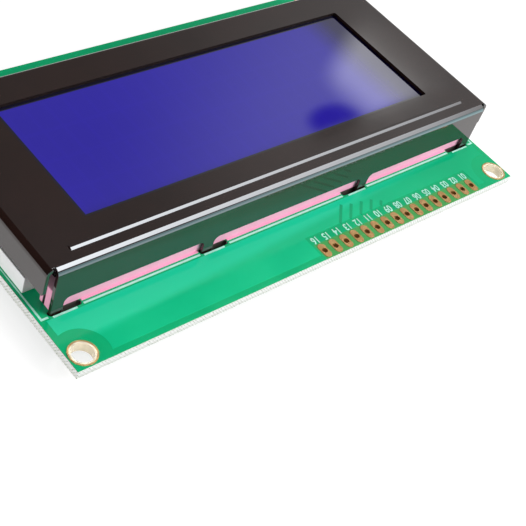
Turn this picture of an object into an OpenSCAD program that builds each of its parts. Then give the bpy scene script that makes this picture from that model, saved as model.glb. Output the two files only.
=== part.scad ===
// Character LCD module, four lines of twenty characters: a folded steel bezel
// clamps the liquid-crystal cell, its elastomer connectors and an edge-lit
// backlight on a circuit board. The header has no pins soldered in.
// Display upright: +X to the right, +Y up, +Z towards the viewer.
// The origin is the centre of the four mounting holes, on the board's back face.

/* [Circuit board] */
// Length of the board
board_l = 98; // [97.5:0.5:104]
// Height of the board
board_w = 60; // [56:0.5:66]
// Thickness of the board
board_t = 1.6; // [1.2:0.1:2.4]
// Distance of the mounting holes from the board's edges
hole_edge = 2.5; // [2.4:0.1:3.5]
// Clear bore of a mounting hole
hole_d = 3.5; // [2.5:0.1:3.6]
// Outer diameter of the plated ring round a mounting hole
ring_d = 4.6; // [4.2:0.1:4.8]
// Thickness of the plated wall inside a hole
plating_t = 0.16; // [0.16:0.02:0.24]
// Height of a plated pad above the board
pad_t = 0.06; // [0.04:0.01:0.1]

/* [Header] */
// Number of header pins
pin_count = 16; // [14:1:18]
// Distance from pin to pin
pin_pitch = 2.54; // [2:0.01:2.6]
// Distance of pin 1 from the board's left edge
pin_start = 10; // [8:0.5:12]
// Distance of the pin row from the board's top edge
pin_edge = 1.7; // [1.6:0.1:2.5]
// Clear bore of a pin hole
pin_hole_d = 1; // [0.8:0.05:1.1]
// Width of a header pad
pin_pad_w = 1.5; // [1.4:0.05:1.8]
// Length of a header pad, across the row
pin_pad_l = 3; // [2:0.1:3.1]

/* [Bezel] */
// Length of the bezel over its end walls
bezel_l = 97; // [94:0.5:97]
// Width of the bezel over its side walls
bezel_w = 39.5; // [38:0.5:42]
// Height of the bezel's face above the board
bezel_h = 9.2; // [8.6:0.1:11]
// Thickness of the bezel's steel sheet
sheet_t = 0.6; // [0.4:0.05:0.7]
// Inside radius of the bends
bend_r = 0.45; // [0.2:0.05:0.6]
// Distance from the bezel's end to the end of its side walls
wall_inset = 1.6; // [1.5:0.1:2.5]
// Depth of the end walls below the face
end_wall_h = 5; // [3:0.1:5.4]
// Width of an end wall
end_wall_w = 38.2; // [37:0.1:38.3]
// Radius of the end walls' lower corners
end_corner_r = 0.5; // [0.2:0.1:1]
// Length of the window
window_l = 75.6; // [72:0.2:78]
// Height of the window
window_w = 25.6; // [24:0.2:27]
// Offset of the window from the centre, to the right
window_x = -0.25; // [-1:0.05:1]
// Offset of the window from the centre, upwards
window_y = -0.55; // [-1:0.05:1]
// Radius of the window's corners
window_r = 0.4; // [0.2:0.1:1]

/* [Bezel bead] */
// Length of the raised bead beside the header
bead_l = 86.2; // [60:0.2:92]
// Width of the bead
bead_w = 1; // [0.6:0.1:1.4]
// Height of the bead above the face
bead_h = 0.2; // [0.1:0.05:0.3]
// Distance of the bead from the side wall's outer face
bead_edge = 3.25; // [2.6:0.05:4]

/* [Bezel tabs] */
// Width of a tab
tab_w = 2.1; // [1.5:0.1:3]
// Distance of the inner tabs from the middle
tab_x = 17.7; // [12:0.1:24]
// Height of the gaps between the tabs, above the board
gap_h = 2.7; // [2:0.1:3.2]
// Radius of the gaps' upper corners
gap_r = 1; // [0.5:0.1:1.5]
// Length of a tab behind the board
foot_l = 2.2; // [1.8:0.1:3]
// Twist that locks a tab behind the board
foot_twist = 38; // [20:1:60]
// Length of a tab's slot in the board
slot_l = 5.4; // [4:0.1:7]
// Play between a tab and its slot
slot_play = 0.2; // [0.1:0.05:0.4]

/* [Liquid-crystal cell] */
// Thickness of a glass plate
glass_t = 1.1; // [0.7:0.1:1.3]
// Thickness of a polarizer
polarizer_t = 0.2; // [0.1:0.05:0.3]
// Thickness of the seal between the plates
seal_t = 0.1; // [0.05:0.05:0.2]
// Width of the seal
seal_w = 1.2; // [0.8:0.1:2]
// Distance of the seal from the rear plate's edge
seal_edge = 0.3; // [0.1:0.1:0.8]
// Play between the front plate and the bezel's side walls
glass_play = 0.25; // [0.15:0.05:0.4]
// Space between the glass and the bezel's end walls
glass_end = 1.1; // [0.6:0.1:2]
// Distance of the polarizers from the edge of their plates
polarizer_edge = 0.6; // [0.2:0.1:1.2]

/* [Elastomer connectors] */
// Thickness of an elastomer strip
zebra_t = 2.65; // [2:0.05:2.8]
// Bulge of each side of a strip under its clamping load
zebra_bulge = 0.08; // [0.04:0.02:0.2]
// Play between a strip's bulge and what is beside it
zebra_play = 0.05; // [0.04:0.01:0.1]
// Distance of a strip's ends from the bezel's ends
zebra_end = 2; // [1.8:0.1:4]

/* [Backlight] */
// Thickness of the light guide
guide_t = 4; // [3:0.1:4.5]
// Thickness of the diffuser film
diffuser_t = 0.2; // [0.1:0.05:0.3]
// Thickness of the reflector film
reflector_t = 0.2; // [0.1:0.05:0.3]
// Thickness of the frame's rim
rim_t = 1; // [0.7:0.1:1.4]
// Overhang of the cell's plates beyond each end of the frame
frame_end = 1.4; // [0:0.1:1.6]
// Play of the films and the light guide in the frame
guide_play = 0.15; // [0.05:0.05:0.3]
// Width of the lamp housing at the right end
lamp_w = 28.8; // [26:0.2:31]
// Height of the lamp housing above the board
lamp_h = 3.1; // [3.1:0.1:4]
// Distance of the lamp housing's end from the bezel's end
lamp_inset = 0.35; // [0.2:0.05:0.4]
// Wall thickness of the lamp housing
lamp_wall = 0.45; // [0.3:0.05:0.6]
// Room between the leads and the lamp housing's end
lead_room = 1.4; // [0.05:0.05:1.5]
// Thickness of the lamp strip's board
strip_t = 0.7; // [0.5:0.05:0.8]
// Number of lamp chips
led_count = 12; // [8:1:14]
// Clear length between the lamp housing's wall and the last lamp chip
led_end = 1.15; // [0.2:0.05:1.5]
// Length of a lamp chip along the strip
led_l = 1.4; // [1:0.1:1.6]
// Height of a lamp chip
led_h = 0.8; // [0.7:0.05:0.8]
// Thickness of a lamp chip
led_t = 0.6; // [0.4:0.05:0.7]

/* [Backlight leads] */
// Distance between the two leads
lead_pitch = 5.08; // [4:0.02:8]
// Width of a lead
lead_w = 0.5; // [0.4:0.05:0.6]
// Thickness of a lead
lead_t = 0.3; // [0.2:0.05:0.35]
// Diameter of a lead's hole in the board
lead_hole_d = 1; // [0.9:0.05:1.2]
// Length of a lead behind the board
lead_out = 0.9; // [0.8:0.1:1.4]
// Diameter of a solder joint at the board
solder_d = 1.9; // [1.6:0.1:2.2]
// Height of a solder joint
solder_h = 0.7; // [0.5:0.05:0.75]
// Thickness of the solder at its narrow end
solder_neck_t = 0.1; // [0.05:0.05:0.15]

/* [Circuits on the back] */
// Diameter of the controller's resin cap
controller_d = 15; // [12:0.5:17]
// Diameter of a segment driver's resin cap
driver_d = 13; // [10:0.5:15]
// Height of the resin caps
cap_h = 1.5; // [1.1:0.1:1.6]
// Height of a resin cap's rim
cap_rim = 0.35; // [0.2:0.05:0.6]
// Height of the resin caps' centres above the middle of the board
cap_y = 1; // [-3:0.5:4]
// Distance from resin cap to resin cap
cap_pitch = 25; // [20:0.5:27]
// Length of a chip resistor or capacitor
chip_l = 2; // [1.6:0.1:2.2]
// Width of a chip resistor or capacitor
chip_w = 1.25; // [0.8:0.05:1.4]
// Height of a chip resistor
resistor_h = 0.5; // [0.3:0.05:0.6]
// Height of a chip capacitor
capacitor_h = 0.9; // [0.6:0.05:1.1]
// Number of chip resistors
resistor_count = 9; // [5:1:10]
// Number of chip capacitors
capacitor_count = 4; // [2:1:5]
// Distance from chip to chip
chip_pitch = 4; // [3:0.1:4.5]
// Distance of the chip rows from the middle of the board
chip_y = 14; // [12:0.5:16]

/* [Hidden] */
$fn = 48;
fine = 0.01;                                       // overcut of a through hole

hole_x = board_l/2 - hole_edge;
hole_y = board_w/2 - hole_edge;
pin_1_x = pin_start - board_l/2;
pin_y = board_w/2 - pin_edge;

bend_out = bend_r + sheet_t;                       // outside radius of the bends
end_x = bezel_l/2;                                 // outer face of an end wall
side_y = bezel_w/2;                                // outer face of a side wall
wall_x = end_x - wall_inset;                       // end of a side wall
face_z = board_t + bezel_h;                        // the bezel's face
bend_z = face_z - bend_out;                        // where the walls begin
under_z = face_z - sheet_t;                        // underside of the face
bead_y = side_y - bead_edge;
bead_radius = (bead_w*bead_w/4 + bead_h*bead_h)/(2*bead_h);
tab_places = [-(wall_x - tab_w/2), -tab_x, tab_x, wall_x - tab_w/2];

front_polarizer_z = under_z - polarizer_t;
front_glass_z = front_polarizer_z - glass_t;
seal_z = front_glass_z - seal_t;
rear_glass_z = seal_z - glass_t;
rear_polarizer_z = rear_glass_z - polarizer_t;
diffuser_z = rear_polarizer_z - diffuser_t;
guide_z = diffuser_z - guide_t;
reflector_z = guide_z - reflector_t;               // the frame's floor

glass_x = end_x - sheet_t - glass_end;
front_glass_y = side_y - sheet_t - glass_play;
zebra_out_y = side_y - sheet_t - zebra_play - zebra_bulge;
zebra_in_y = zebra_out_y - zebra_t;
zebra_x = end_x - zebra_end;
cell_y = zebra_in_y - zebra_bulge - zebra_play;    // edge of the rear plate

frame_x = glass_x - frame_end;                     // end of the backlight frame
tray_x = frame_x - rim_t;                          // inside of the backlight frame
tray_y = cell_y - rim_t;
lamp_x = end_x - lamp_inset;                       // end of the lamp housing
lamp_z = board_t + lamp_h;
lamp_room_x = lamp_x - lamp_wall;                  // inside of the lamp housing
lamp_room_y = lamp_w/2 - lamp_wall;
lamp_room_z = lamp_z - lamp_wall;
strip_play = 0.05;
strip_x = lamp_room_x - lead_room - lead_t - strip_t;
led_z = lamp_room_z - strip_play - led_h;
led_pitch = (2*(lamp_room_y - led_end) - led_l)/(led_count - 1);
lead_x = strip_x + strip_t;

// Shared forms

// A plate from z upwards, as wide as twice x and y
module plate(x, y, z, t) {
    translate([-x, -y, z]) cube([2*x, 2*y, t]);
}

// A flat rectangle with round corners, about the origin
module rounded_rect(l, w, r) {
    square([l - 2*r, w], center = true);
    square([l, w - 2*r], center = true);
    for (x = [-1, 1], y = [-1, 1])
        translate([x*(l/2 - r), y*(w/2 - r)]) circle(r);
}

// A slot with round ends along X, about the origin
module stadium(l, w) {
    square([l - w, w], center = true);
    for (x = [-1, 1]) translate([x*(l - w)/2, 0]) circle(d = w);
}

// A plated hole at the origin: a pad on each face, a wall and the bore.
// Its child is the pad's outline.
module plated_hole(bore) {
    difference() {
        union() {
            translate([0, 0, board_t]) linear_extrude(pad_t) children();
            translate([0, 0, -pad_t]) linear_extrude(pad_t) children();
            cylinder(d = bore + 2*plating_t, h = board_t);
        }
        translate([0, 0, -pad_t - fine])
            cylinder(d = bore, h = board_t + 2*pad_t + 2*fine);
    }
}

module at_mounting_holes() {
    for (x = [-hole_x, hole_x], y = [-hole_y, hole_y]) translate([x, y, 0]) children();
}

module at_pins() {
    for (i = [0 : pin_count - 1]) translate([pin_1_x + i*pin_pitch, pin_y, 0]) children();
}

// Each tab's place, in the middle of its wall's sheet
module at_tabs() {
    for (x = tab_places, side = [-1, 1])
        translate([x, side*(side_y - sheet_t/2), 0]) children();
}

// Circuit board

module board_slot(x, side) {
    length = slot_l + 2*slot_play;
    inward = x > 0 ? -1 : 1;
    translate([x - inward*(tab_w/2 + slot_play) + inward*length/2, side*(side_y - sheet_t/2)])
        stadium(length, sheet_t + 2*slot_play);
}

module circuit_board() {
    color("#16a878") difference() {
        linear_extrude(board_t) difference() {
            square([board_l, board_w], center = true);
            for (x = tab_places, side = [-1, 1]) board_slot(x, side);
        }
        translate([0, 0, -fine]) {
            at_mounting_holes() cylinder(d = hole_d + 2*plating_t, h = board_t + 2*fine);
            at_pins() cylinder(d = pin_hole_d + 2*plating_t, h = board_t + 2*fine);
            at_leads() cylinder(d = lead_hole_d, h = board_t + 2*fine);
        }
    }
}

module mounting_hole_rings() {
    color("#d9a441") at_mounting_holes() plated_hole(hole_d) circle(d = ring_d);
}

module header_pads() {
    color("#c98a3a") at_pins() plated_hole(pin_hole_d)
        rotate(90) stadium(pin_pad_l, pin_pad_w);
}

// Bezel: one sheet, folded down on four sides

// A quarter bend and nothing else: from the face's edge to the top of a wall,
// in the plane of +X (outwards) and +Y (up), with the bend's centre at the origin
module bend_profile() {
    intersection() {
        difference() {
            circle(bend_out);
            circle(bend_r);
        }
        square(bend_out);
    }
}

// A side wall seen from outside: a straight strip whose gaps leave the tabs
module side_wall_outline() {
    gap_top = board_t + gap_h;
    difference() {
        translate([-wall_x, 0]) square([2*wall_x, bend_z]);
        for (i = [0 : len(tab_places) - 2]) {
            left = tab_places[i] + tab_w/2;
            right = tab_places[i + 1] - tab_w/2;
            translate([(left + right)/2, gap_top - (gap_top + gap_r)/2])
                gap_outline(right - left, gap_top + gap_r);
        }
    }
}

// A gap's outline, about its middle: it is round at its upper corners and
// runs out at the bottom
module gap_outline(l, h) {
    rounded_rect(l, h, gap_r);
}

module side_fold() {
    length = 2*wall_x;
    translate([-wall_x, side_y - bend_out, bend_z])
        rotate([90, 0, 90]) linear_extrude(length) bend_profile();
    translate([0, side_y, 0]) rotate([90, 0, 0]) linear_extrude(sheet_t) side_wall_outline();
}

module end_wall_outline() {
    height = end_wall_h - bend_out;
    translate([0, bend_z - height/2]) {
        translate([0, end_corner_r/2])
            square([end_wall_w, height - end_corner_r], center = true);
        square([end_wall_w - 2*end_corner_r, height], center = true);
        for (x = [-1, 1])
            translate([x*(end_wall_w/2 - end_corner_r), end_corner_r - height/2])
                circle(end_corner_r);
    }
}

module end_fold() {
    translate([end_x - bend_out, end_wall_w/2, bend_z])
        rotate([90, 0, 0]) linear_extrude(end_wall_w) bend_profile();
    translate([end_x - sheet_t, 0, 0])
        rotate([90, 0, 90]) linear_extrude(sheet_t) end_wall_outline();
}

// The bead's round back, lying along X with its crown at the height z
module bead_bar(z) {
    intersection() {
        translate([-bead_l/2, bead_y, z - bead_radius])
            rotate([0, 90, 0]) cylinder(r = bead_radius, h = bead_l);
        translate([-bead_l/2, bead_y - bead_w/2, z - bead_h - fine])
            cube([bead_l, bead_w, bead_h + 2*fine]);
    }
}

// A tab behind the board, twisted so that it can't slip back through its slot
module tab_foot() {
    mirror([0, 0, 1]) linear_extrude(foot_l, twist = foot_twist, slices = 6, segments = 4)
        square([tab_w, sheet_t], center = true);
}

module bezel() {
    color("#3a302d") {
        difference() {
            union() {
                plate(end_x - bend_out, side_y - bend_out, under_z, sheet_t);
                bead_bar(face_z + bead_h);
                for (turn = [0, 180]) rotate(turn) {
                    side_fold();
                    end_fold();
                }
                at_tabs() tab_foot();
            }
            translate([window_x, window_y, under_z - fine])
                linear_extrude(sheet_t + 2*fine) rounded_rect(window_l, window_w, window_r);
            bead_bar(under_z + bead_h);
        }
    }
}

// Liquid-crystal cell

module front_polarizer() {
    color("#4632a0")
        plate(glass_x - polarizer_edge, cell_y - polarizer_edge, front_polarizer_z, polarizer_t);
}

module front_glass() {
    color("#a9c4cf") plate(glass_x, front_glass_y, front_glass_z, glass_t);
}

module cell_seal() {
    x = glass_x - seal_edge;
    y = cell_y - seal_edge;
    color("#d8d8c8") difference() {
        plate(x, y, seal_z, seal_t);
        plate(x - seal_w, y - seal_w, seal_z - fine, seal_t + 2*fine);
    }
}

module rear_glass() {
    color("#a9c4cf") plate(glass_x, cell_y, rear_glass_z, glass_t);
}

module rear_polarizer() {
    color("#5a5a66")
        plate(tray_x - guide_play, tray_y - guide_play, rear_polarizer_z, polarizer_t);
}

// Elastomer connectors: from the board up to the front plate's overhang,
// squeezed so that their sides bulge

module zebra_profile() {
    height = front_glass_z - board_t;
    bulge_r = (height*height/4 + zebra_bulge*zebra_bulge)/(2*zebra_bulge);
    translate([zebra_in_y, board_t]) {
        square([zebra_t, height]);
        intersection() {
            translate([zebra_t + zebra_bulge - bulge_r, height/2]) circle(bulge_r, $fn = 480);
            translate([zebra_t/2, 0]) square([zebra_t, height]);
        }
        intersection() {
            translate([bulge_r - zebra_bulge, height/2]) circle(bulge_r, $fn = 480);
            translate([-zebra_t/2, 0]) square([zebra_t, height]);
        }
    }
}

module zebra_strip() {
    translate([-zebra_x, 0, 0]) rotate([90, 0, 90]) linear_extrude(2*zebra_x) zebra_profile();
}

module zebra_strip_header_side() {
    color("#f7a3bd") zebra_strip();
}

module zebra_strip_far_side() {
    color("#f7a3bd") rotate(180) zebra_strip();
}

// Backlight

module backlight_frame() {
    color("#f2f3f4") difference() {
        union() {
            plate(frame_x, cell_y, board_t, rear_glass_z - board_t);
            translate([tray_x, -lamp_w/2, board_t]) cube([lamp_x - tray_x, lamp_w, lamp_h]);
        }
        plate(tray_x, tray_y, reflector_z, face_z);
        translate([tray_x - fine, -lamp_room_y, board_t - fine])
            cube([lamp_room_x - tray_x + fine, 2*lamp_room_y, lamp_room_z - board_t + fine]);
    }
}

module light_guide() {
    color("#dfeaf2") plate(tray_x - guide_play, tray_y - guide_play, guide_z, guide_t);
}

module diffuser_film() {
    color("#fafafa") plate(tray_x - guide_play, tray_y - guide_play, diffuser_z, diffuser_t);
}

module reflector_film() {
    color("#ffffff") plate(tray_x - guide_play, tray_y - guide_play, reflector_z, reflector_t);
}

module led_strip_board() {
    color("#e9ece4") translate([strip_x, -lamp_room_y + strip_play, board_t])
        cube([strip_t, 2*(lamp_room_y - strip_play), lamp_room_z - strip_play - board_t]);
}

module backlight_leds() {
    color("#f0e6a0") for (i = [0 : led_count - 1])
        translate([strip_x - led_t, (i - (led_count - 1)/2)*led_pitch - led_l/2, led_z])
            cube([led_t, led_l, led_h]);
}

module at_leads() {
    for (side = [-1, 1]) translate([lead_x + lead_t/2, side*lead_pitch/2, 0]) children();
}

module lead_pin() {
    translate([-lead_t/2, -lead_w/2, -lead_out])
        cube([lead_t, lead_w, lead_out + led_z]);
}

module backlight_anode_lead() {
    color("#c9ccd0") translate([lead_x + lead_t/2, lead_pitch/2, 0]) lead_pin();
}

module backlight_cathode_lead() {
    color("#c9ccd0") translate([lead_x + lead_t/2, -lead_pitch/2, 0]) lead_pin();
}

// A solder joint: wide at the board, drawn in towards the lead
module solder_joint() {
    neck_r = norm([lead_w, lead_t])/2 + solder_neck_t;
    foot_r = solder_d/2;
    difference() {
        rotate_extrude() difference() {
            translate([0, -solder_h]) square([foot_r, solder_h]);
            translate([neck_r + solder_h, -solder_h]) circle(solder_h - solder_neck_t);
        }
        lead_pin();
    }
}

module lead_solder_joints() {
    color("#bfc3c6") at_leads() solder_joint();
}

// Circuits on the back

module resin_cap(d) {
    dome = cap_h - cap_rim;
    r = (d*d/4 + dome*dome)/(2*dome);
    mirror([0, 0, 1]) rotate_extrude() {
        square([d/2, cap_rim]);
        intersection() {
            translate([0, cap_h - r]) circle(r, $fn = 192);
            square([d/2, cap_h]);
        }
    }
}

module controller_cap() {
    color("#1b1b1d") translate([cap_pitch, cap_y, 0]) resin_cap(controller_d);
}

module segment_driver_cap_middle() {
    color("#1b1b1d") translate([0, cap_y, 0]) resin_cap(driver_d);
}

module segment_driver_cap_left() {
    color("#1b1b1d") translate([-cap_pitch, cap_y, 0]) resin_cap(driver_d);
}

// A row of chips under the board, centred on the height y
module chip_row(count, y, h) {
    for (i = [0 : count - 1])
        translate([(i - (count - 1)/2)*chip_pitch - chip_w/2, y - chip_l/2, -h])
            cube([chip_w, chip_l, h]);
}

module chip_resistors() {
    color("#23252a") chip_row(resistor_count, chip_y, resistor_h);
}

module chip_capacitors() {
    color("#b99a6b") chip_row(capacitor_count, -chip_y, capacitor_h);
}

circuit_board();
mounting_hole_rings();
header_pads();
bezel();
front_polarizer();
front_glass();
cell_seal();
rear_glass();
rear_polarizer();
zebra_strip_header_side();
zebra_strip_far_side();
backlight_frame();
light_guide();
diffuser_film();
reflector_film();
led_strip_board();
backlight_leds();
backlight_anode_lead();
backlight_cathode_lead();
lead_solder_joints();
controller_cap();
segment_driver_cap_middle();
segment_driver_cap_left();
chip_resistors();
chip_capacitors();
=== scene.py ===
import math

import bmesh
import bpy
from bpy.props import FloatProperty, FloatVectorProperty, IntProperty, PointerProperty
from mathutils import Matrix, Quaternion, Vector


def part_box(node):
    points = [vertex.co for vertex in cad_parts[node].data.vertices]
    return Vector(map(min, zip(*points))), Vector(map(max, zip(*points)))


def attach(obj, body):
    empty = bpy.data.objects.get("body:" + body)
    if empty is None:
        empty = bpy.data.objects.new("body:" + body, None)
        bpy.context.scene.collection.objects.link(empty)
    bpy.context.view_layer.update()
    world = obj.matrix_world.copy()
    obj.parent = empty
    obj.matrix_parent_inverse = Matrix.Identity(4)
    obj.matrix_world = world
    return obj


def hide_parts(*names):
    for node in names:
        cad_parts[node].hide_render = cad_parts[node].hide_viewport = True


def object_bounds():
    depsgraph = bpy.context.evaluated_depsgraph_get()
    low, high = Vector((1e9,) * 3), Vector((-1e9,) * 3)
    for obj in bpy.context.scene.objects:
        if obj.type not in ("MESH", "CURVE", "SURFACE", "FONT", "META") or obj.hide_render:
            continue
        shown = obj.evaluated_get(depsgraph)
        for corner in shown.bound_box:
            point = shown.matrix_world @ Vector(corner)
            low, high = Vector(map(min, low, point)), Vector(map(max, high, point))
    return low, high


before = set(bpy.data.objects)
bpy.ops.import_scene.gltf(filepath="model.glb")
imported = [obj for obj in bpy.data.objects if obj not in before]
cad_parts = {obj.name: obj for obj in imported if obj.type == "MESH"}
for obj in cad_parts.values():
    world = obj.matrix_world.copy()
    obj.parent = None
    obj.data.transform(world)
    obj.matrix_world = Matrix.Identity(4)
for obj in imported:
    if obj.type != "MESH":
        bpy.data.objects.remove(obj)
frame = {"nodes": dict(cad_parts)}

bl_info = {
    "name": "Character LCD Module",
    "version": (1, 0, 0),
    "blender": (4, 5, 0),
    "location": "View3D > Sidebar > LCD Module",
    "description": "Dresses a four-line character LCD module and sets up its studio",
    "category": "Add Mesh",
}

MM = 0.001
CAD_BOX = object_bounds()
BODY = "root"
PLAIN_TINT = (1, 1, 1)
BOX_TINT = (0.9, 0.95, 1)             # the long softbox in reflections
FRONT_TINT = (0.48, 0.92, 1)          # the light from the header's side


# Places taken from the frame

BOARD_LO, BOARD_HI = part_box("circuit_board")
PADS_LO, PADS_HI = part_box("header_pads")
RINGS_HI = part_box("mounting_hole_rings")[1]

# The slots that take the bezel's tabs: their reach along X, their middle and their width
SLOTS = ((13.15*MM, 18.95*MM), (41.3*MM, 47.1*MM))
SLOT_Y, SLOT_W = 19.45*MM, 1*MM
WALL_Y = 19.75*MM                     # outer face of the bezel's side walls

# The bezel's window, and the camera's place
WINDOW_LO, WINDOW_HI = (-38.05*MM, -13.35*MM), (37.55*MM, 12.25*MM)
RING_R = 2.3*MM                       # outer radius of a mounting hole's ring
CAMERA_AT = Vector((123.48, 101.99, 130.12))*MM
CAMERA_AIM = Vector((18.817, 31.243, 10.8))*MM
CAMERA_LENS, CAMERA_SENSOR = 81.05, 36
CAMERA_ROLL = math.radians(21.89)

# The header's pins, and the copper-free notch round their pads
PIN_COUNT, PAD_W = 16, 1.5*MM
NOTCH_SIDE, NOTCH_DEPTH = 1.4*MM, 2.1*MM

# The resin caps from right to left, and the rows of chips with how many each has
CAPS = ("controller_cap", "segment_driver_cap_middle", "segment_driver_cap_left")
CHIP_ROWS = (("chip_resistors", 9), ("chip_capacitors", 4))
CHIP_W = 1.25*MM

MERGE = 0.001*MM                      # points closer than this are one
HOUSING_ROUND = 0.12*MM               # rounded edges of moulded rubber and plastic
CAP_HEIGHT = 0.72                     # height of a digit, as a part of the text's size


# Sizes and colours

def size(name, description, default):
    """A length in metres, whose default is given in millimetres"""
    return FloatProperty(name=name, description=description, default=default*MM,
                         min=0, unit="LENGTH", precision=5)


def share(name, description, default):
    return FloatProperty(name=name, description=description, default=default,
                         min=0, max=1, subtype="FACTOR")


def colour(name, description, default):
    return FloatVectorProperty(name=name, description=description, default=default,
                               min=0, max=1, size=3, subtype="COLOR")


class LcdBoardSettings(bpy.types.PropertyGroup):
    edge_round: size("Edge Round", "Width of the rounded edge of the laminate", 0.05)
    mask: colour("Solder Mask", "Solder mask over bare laminate", (0.001, 0.42, 0.165))
    mask_on_copper: colour("Mask on Copper", "Solder mask over a copper area",
                           (0.002, 0.52, 0.235))
    mask_by_bezel: colour("Mask by Bezel", "Solder mask over copper next to the bezel",
                          (0.012, 0.64, 0.34))
    tone_change: size("Tone Change", "Place of the change of tone along Y", 22.9)
    mask_on_track: colour("Mask on Tracks", "Solder mask over narrow tracks",
                          (0.001, 0.36, 0.15))
    mask_by_pads: colour("Mask by Pads", "Solder mask between the header pads",
                         (0.07, 0.36, 0.09))
    laminate: colour("Laminate", "Cut edge of the glass laminate", (0.86, 0.88, 0.80))
    bundle: colour("Bundle Ends", "Cut ends of the woven glass", (0.36, 0.42, 0.32))
    # Painted shade: the bare laminate inside the slots and holes, coloured near-black for the
    # shadow it lies in
    slot_shade: colour("Slot Wall", "Burnt laminate inside the slots", (0.05, 0.045, 0.035))
    copper_t: size("Copper Thickness", "Height of copper under the mask", 0.035)
    keep_out: size("Hole Keep-Out", "Radius without copper round a mounting hole", 4.4)
    copper_edge: size("Copper to Edge", "Distance from the board's edge to the copper", 1.1)
    bezel_gap: size("Copper to Bezel", "Distance from the bezel's wall to the copper", 0.6)
    track_w: size("Track Width", "Width of a narrow track", 0.3)
    wide_track: size("Wide Track", "Width of a track on the front", 0.5)
    track_shift: size("Track Shift", "Distance of a front track from its pin along X", 0.6)
    via_d: size("Via Diameter", "Diameter of a covered via", 0.7)


class LcdPrintSettings(bpy.types.PropertyGroup):
    ink: colour("Ink", "Printing ink", (0.45, 0.90, 0.74))
    line_w: size("Line Width", "Width of a printed line", 0.36)
    ink_t: size("Ink Thickness", "Height of the ink above the mask", 0.02)
    outline_play: size("Outline Play", "Distance from the bezel's wall to the outline", 0.13)
    slot_margin: size("Slot Margin", "Bare length beside each slot", 0.15)
    slot_clear: size("Slot Clearance", "Distance from a slot to the line along it", 0.05)
    slot_line: size("Slot Line Start", "Distance from a slot's inner end to that line", 1.1)
    number_h: size("Number Height", "Height of the pin numbers", 1.45)
    number_gap: size("Number Gap", "Distance from a pad to its number", 0.15)
    number_bold: size("Number Weight", "Growth of the numbers' strokes", 0.04)
    narrowing: share("Narrowing", "Width of the numbers against the plain font", 0.78)
    outline_edge: size("Outline to Edge", "Distance from the board's end to the outline", 0.6)
    back_line_w: size("Back Line Width", "Width of a printed line on the back", 0.15)
    ring_gap: size("Ring Gap", "Distance from a resin cap to its printed ring", 0.7)
    frame_gap: size("Frame Gap", "Distance from a chip's side to its frame", 0.35)
    frame_h: size("Frame Height", "Length of a chip's frame along Y", 3.5)


class LcdMetalSettings(bpy.types.PropertyGroup):
    gold: colour("Gold", "Plating of the mounting holes", (0.95, 0.83, 0.62))
    tarnish: colour("Tarnish", "Face of the mounting holes' rings", (0.45, 0.29, 0.11))
    copper: colour("Pad Copper", "Plating of the header pads", (0.46, 0.25, 0.08))
    tin: colour("Tin", "Tinned wire and chip terminals", (0.62, 0.63, 0.64))
    solder: colour("Solder", "Solder joints", (0.55, 0.56, 0.58))


class LcdBezelSettings(bpy.types.PropertyGroup):
    edge_round: size("Edge Round", "Width of the rounded edges of the sheet", 0.05)
    sheet: size("Sheet", "Thickness of the sheet", 0.62)
    enamel: colour("Enamel", "Black-brown enamel", (0.0135, 0.006, 0.0048))
    roughness: share("Roughness", "Roughness of the enamel", 0.06)


class LcdCellSettings(bpy.types.PropertyGroup):
    film: colour("Film", "Violet-blue front polarizer", (0.015, 0.005, 0.36))
    # Painted shadow: how far in from the window's edges the film goes nearly black
    border: size("Border", "Width of the dark border inside the window", 0.72)
    lip: size("Lip", "Height of the strips' pressed lip", 0.12)
    glass: colour("Glass", "Tint of the glass plates", (0.83, 0.93, 0.90))
    sealant: colour("Sealant", "Seal between the plates", (0.70, 0.70, 0.58))
    elastomer: colour("Elastomer", "Pink silicone strips", (0.94, 0.43, 0.61))
    columns: IntProperty(name="Columns", description="Characters in a line", default=20, min=1)
    lines: IntProperty(name="Lines", description="Lines of characters", default=4, min=1)


class LcdBacklightSettings(bpy.types.PropertyGroup):
    frame: colour("Frame", "White moulded frame", (0.92, 0.92, 0.92))
    guide: colour("Guide", "Clear light guide", (0.86, 0.93, 0.95))
    film: colour("Films", "White optical films", (0.88, 0.88, 0.87))
    phosphor: colour("Phosphor", "Yellow resin of the lamps", (0.85, 0.70, 0.16))


class LcdCircuitSettings(bpy.types.PropertyGroup):
    resin: colour("Resin", "Black resin over the bare chips", (0.006, 0.006, 0.007))
    resistor: colour("Resistor", "Glazed back of a resistor", (0.010, 0.010, 0.012))
    capacitor: colour("Capacitor", "Ceramic of a capacitor", (0.36, 0.22, 0.10))
    terminal_l: size("Terminal Length", "Length of a chip's end terminal", 0.38)
    terminal_t: size("Terminal Thickness", "Thickness of a terminal's metal", 0.025)
    terminal_lift: size("Terminal Lift", "Gap between a terminal and the board", 0.005)
    terminal_round: size("Terminal Round", "Width of a terminal's rounded edges", 0.06)
    fillet: size("Fillet", "Reach of the solder beyond a terminal", 0.4)
    fillet_side: size("Fillet Overhang", "Width of the solder past a chip's side", 0.1)


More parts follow.
